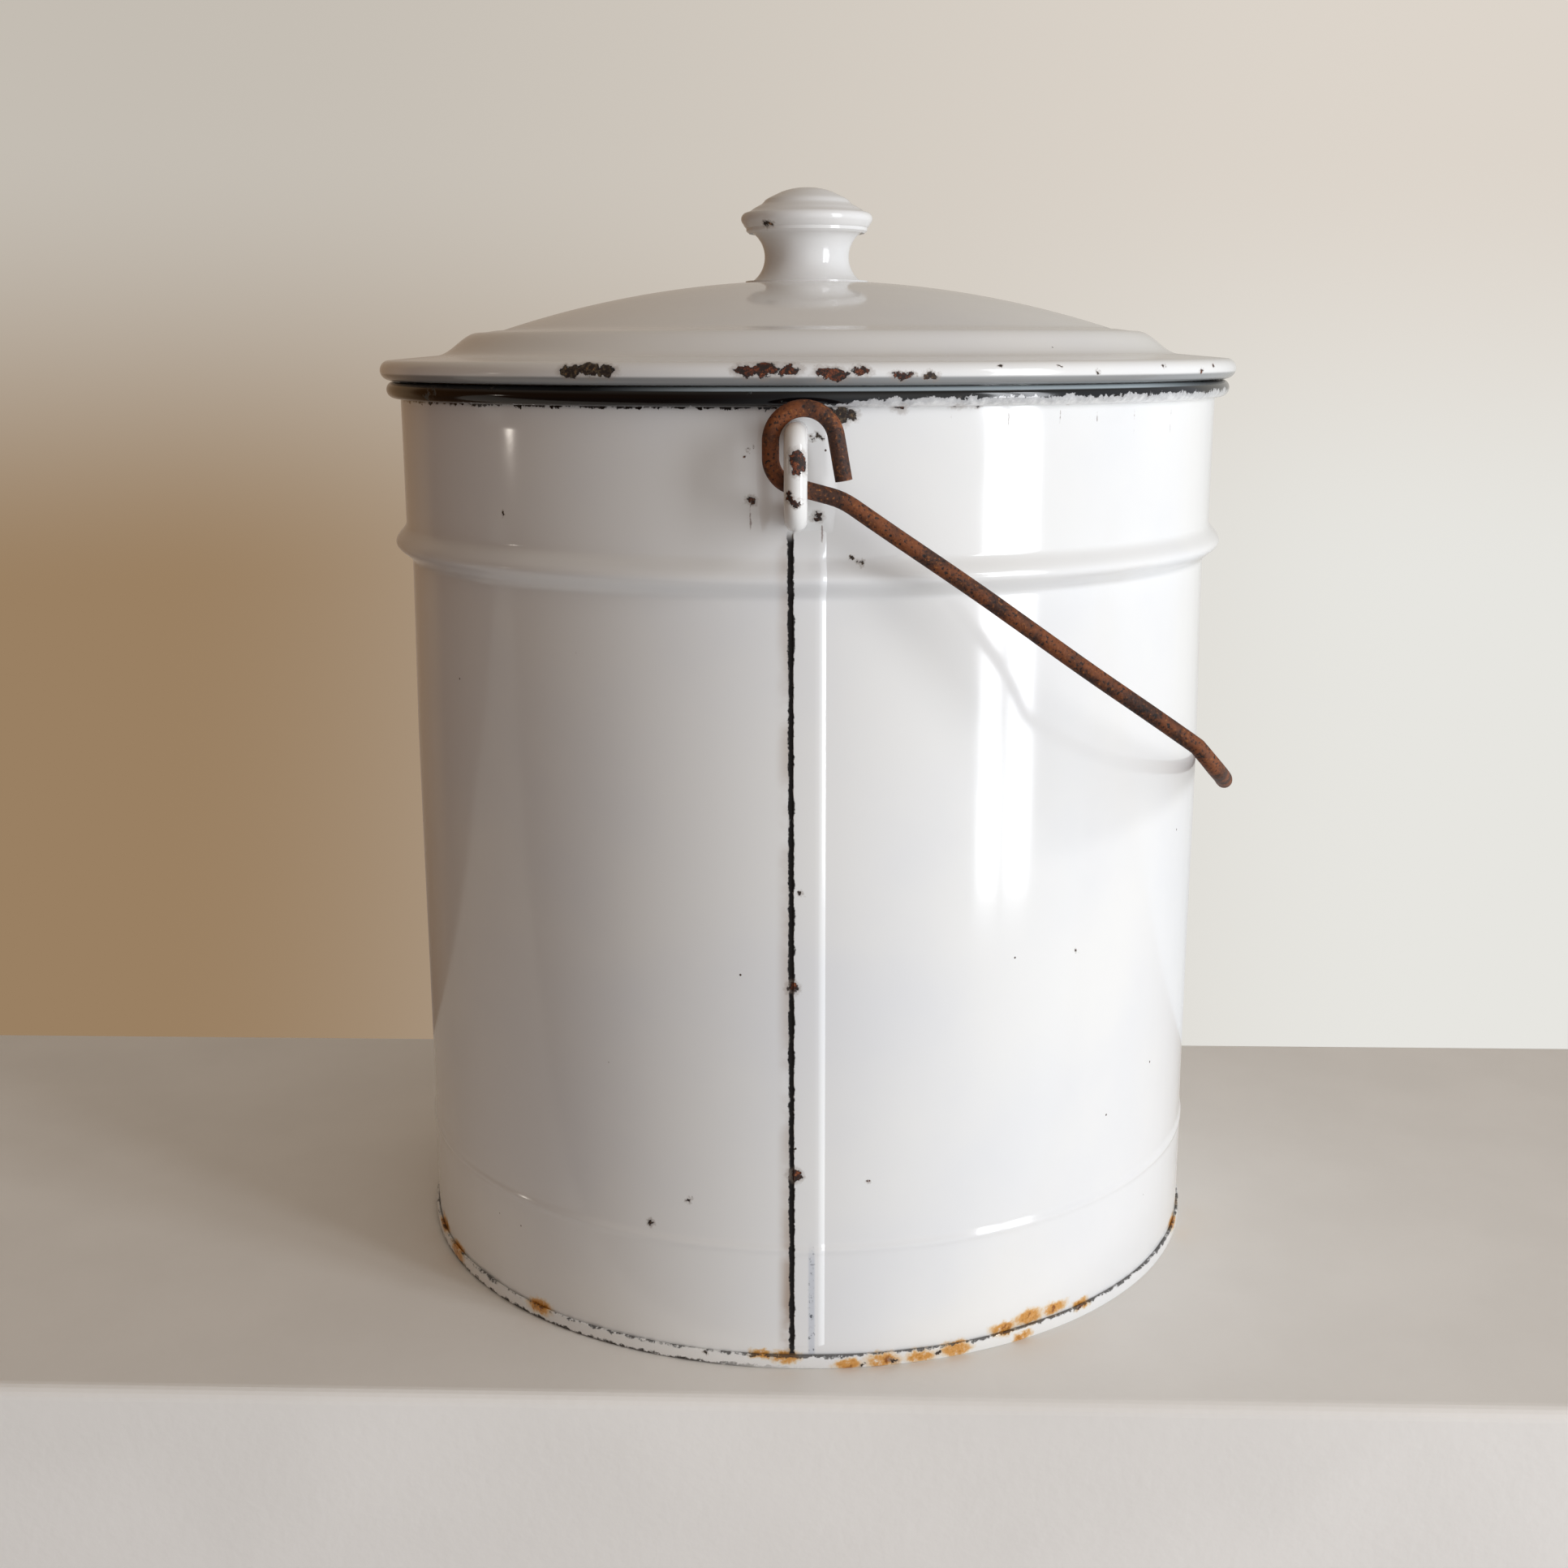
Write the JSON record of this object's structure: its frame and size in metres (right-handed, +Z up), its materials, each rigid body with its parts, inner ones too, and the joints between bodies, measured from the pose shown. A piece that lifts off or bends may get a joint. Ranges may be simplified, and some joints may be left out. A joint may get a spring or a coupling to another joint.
{
  "type": "lidded enamel pail",
  "caption": "Round enamelled sheet-steel pail with a rolled rim, a stiffening rib, a knobbed lift-off lid and a hooked wire bail that swings in two staple ears.",
  "frame": {"origin": "on the pail's axis at the foot, where it stands", "axes": "+Z up along the pail's axis; the front ear and the side seam face -Y; the bail rests against the wall on the +X side"},
  "size_m": [0.2798, 0.3048, 0.3499],
  "materials": {
    "white_enamel": "glossy vitreous enamel",
    "bare_steel": "plain drawn wire and rivet steel",
    "rusted_wire": "rusted drawn steel wire"
  },
  "bodies": {
    "pail": {"body_shell": "white_enamel", "base_pan": "white_enamel", "rim_wire": "bare_steel", "front_ear": "white_enamel", "rear_ear": "white_enamel", "front_ear_plate": "white_enamel", "rear_ear_plate": "white_enamel", "front_ear_backing": "white_enamel", "rear_ear_backing": "white_enamel"},
    "bail": {"bail": "rusted_wire"},
    "lid": {"lid_shell": "white_enamel", "lid_rim_wire": "bare_steel", "lid_collar": "white_enamel", "knob_neck": "white_enamel", "knob_cap": "white_enamel", "knob_rivet": "bare_steel", "knob_washer": "bare_steel"}
  },
  "joints": [
    {"name": "bail_swing", "type": "hinge", "parent": "pail", "child": "bail", "pos_m": [0.00197, 0, 0.2746], "axis": [0, -1, 0], "range_deg": [0, 256]},
    {"name": "lid_lift", "type": "slide", "parent": "pail", "child": "lid", "axis": [0, 0, 1], "range_m": [0, 0.08]}
  ]
}
